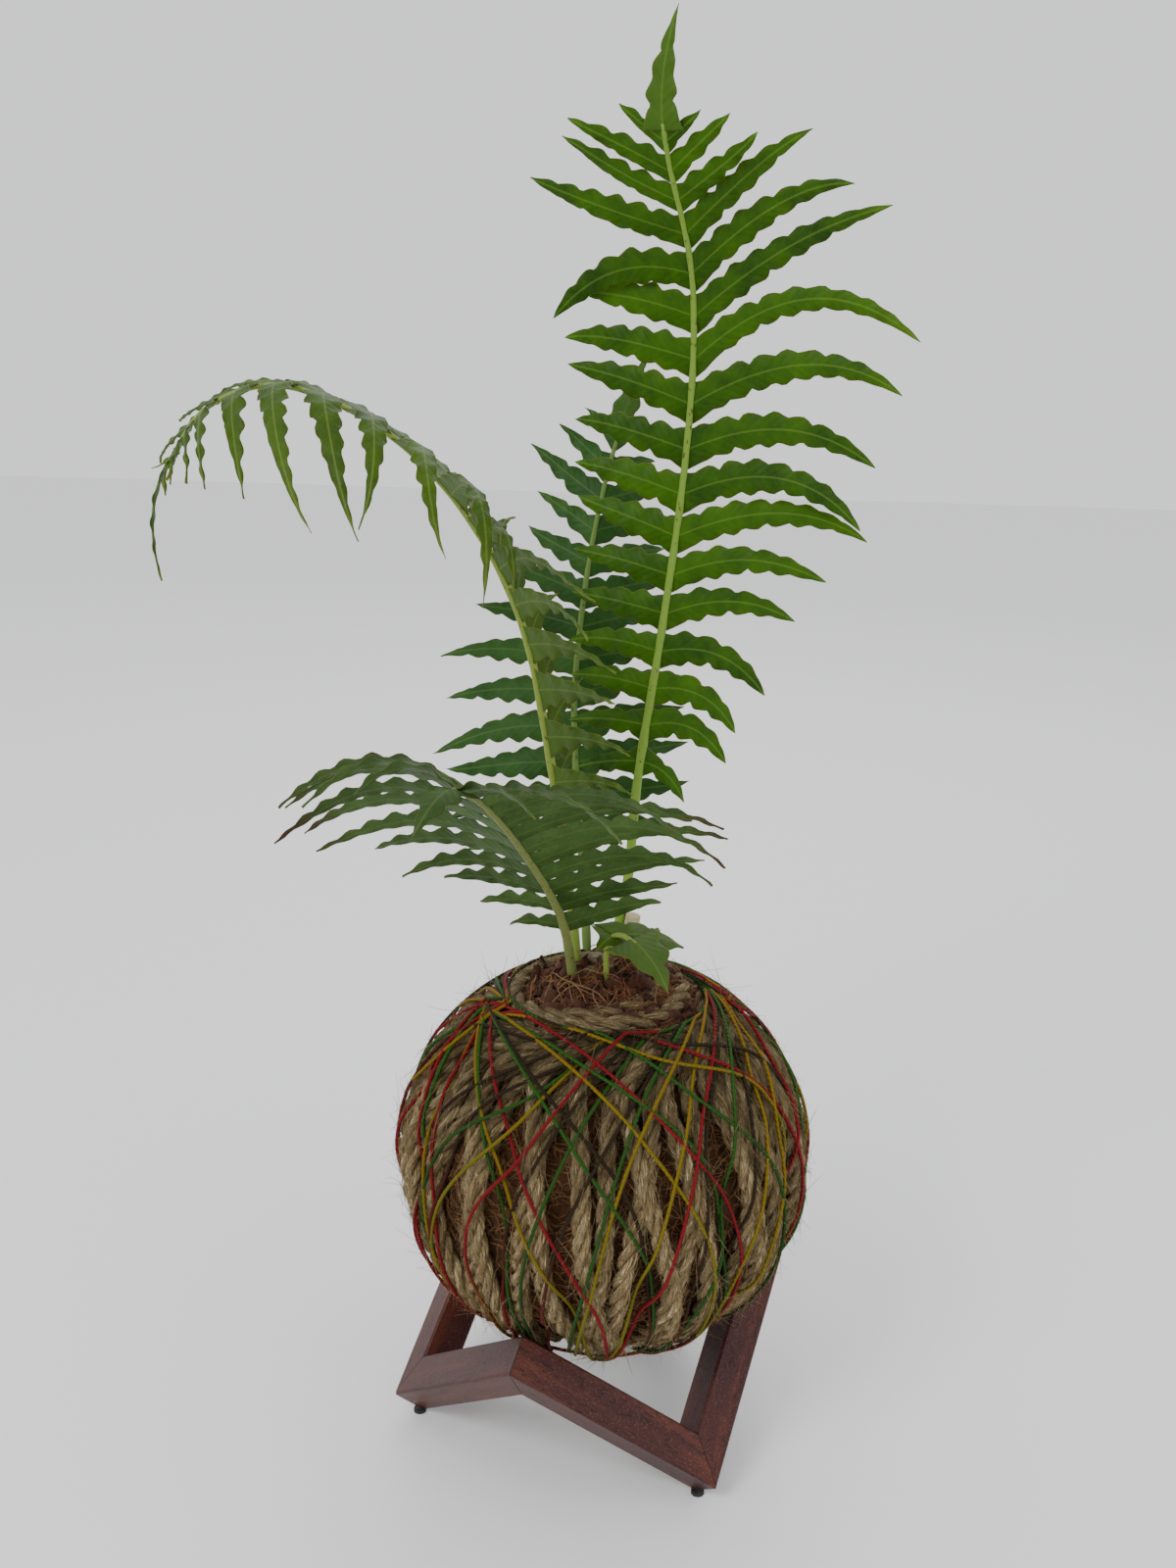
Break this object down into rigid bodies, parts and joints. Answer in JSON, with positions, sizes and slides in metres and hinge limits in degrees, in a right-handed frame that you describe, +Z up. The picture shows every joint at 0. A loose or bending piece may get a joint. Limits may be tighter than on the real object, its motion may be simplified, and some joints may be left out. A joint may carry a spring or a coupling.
{
  "type": "kokedama moss ball plant",
  "caption": "Fern growing from a coir ball bound with jute rope and fine coloured thread, resting on a folded wooden stand; a decorative plant for a table.",
  "frame": {"origin": "on the floor under the middle of the whole plant's outline", "axes": "+Z up, the front of the plant as pictured faces -Y, +X to the right of it"},
  "size_m": [0.2498, 0.2128, 0.4843],
  "materials": {
    "wood": "red-brown lacquered wood with open pores",
    "foot": "black, dull",
    "soil": "dark packed soil, dull",
    "coir": "brown coconut fibre, matte",
    "jute": "beige three-ply jute, hairy",
    "thread": "fine thread dyed in red, gold and green turns",
    "crown": "scaly brown-green stem",
    "leaf_bright": "fresh green leaf, satin",
    "leaf_olive": "olive green leaf, satin",
    "leaf_shaded": "blue-green leaf, satin"
  },
  "bodies": {
    "root": {"stand_bar_front_left": "wood", "stand_bar_front_right": "wood", "stand_bar_right": "wood", "stand_bar_back_right": "wood", "stand_bar_back_left": "wood", "stand_bar_left": "wood", "foot_pad_left": "foot", "foot_pad_right": "foot", "foot_pad_back": "foot", "soil_ball": "soil", "coir_wrap": "coir", "husk_chips": "coir", "jute_rope": "jute", "wound_thread": "thread", "crown": "crown", "frond_tall": "leaf_bright", "frond_arching": "leaf_olive", "frond_back": "leaf_shaded", "frond_low": "leaf_shaded", "frond_young": "leaf_bright"}
  },
  "joints": []
}
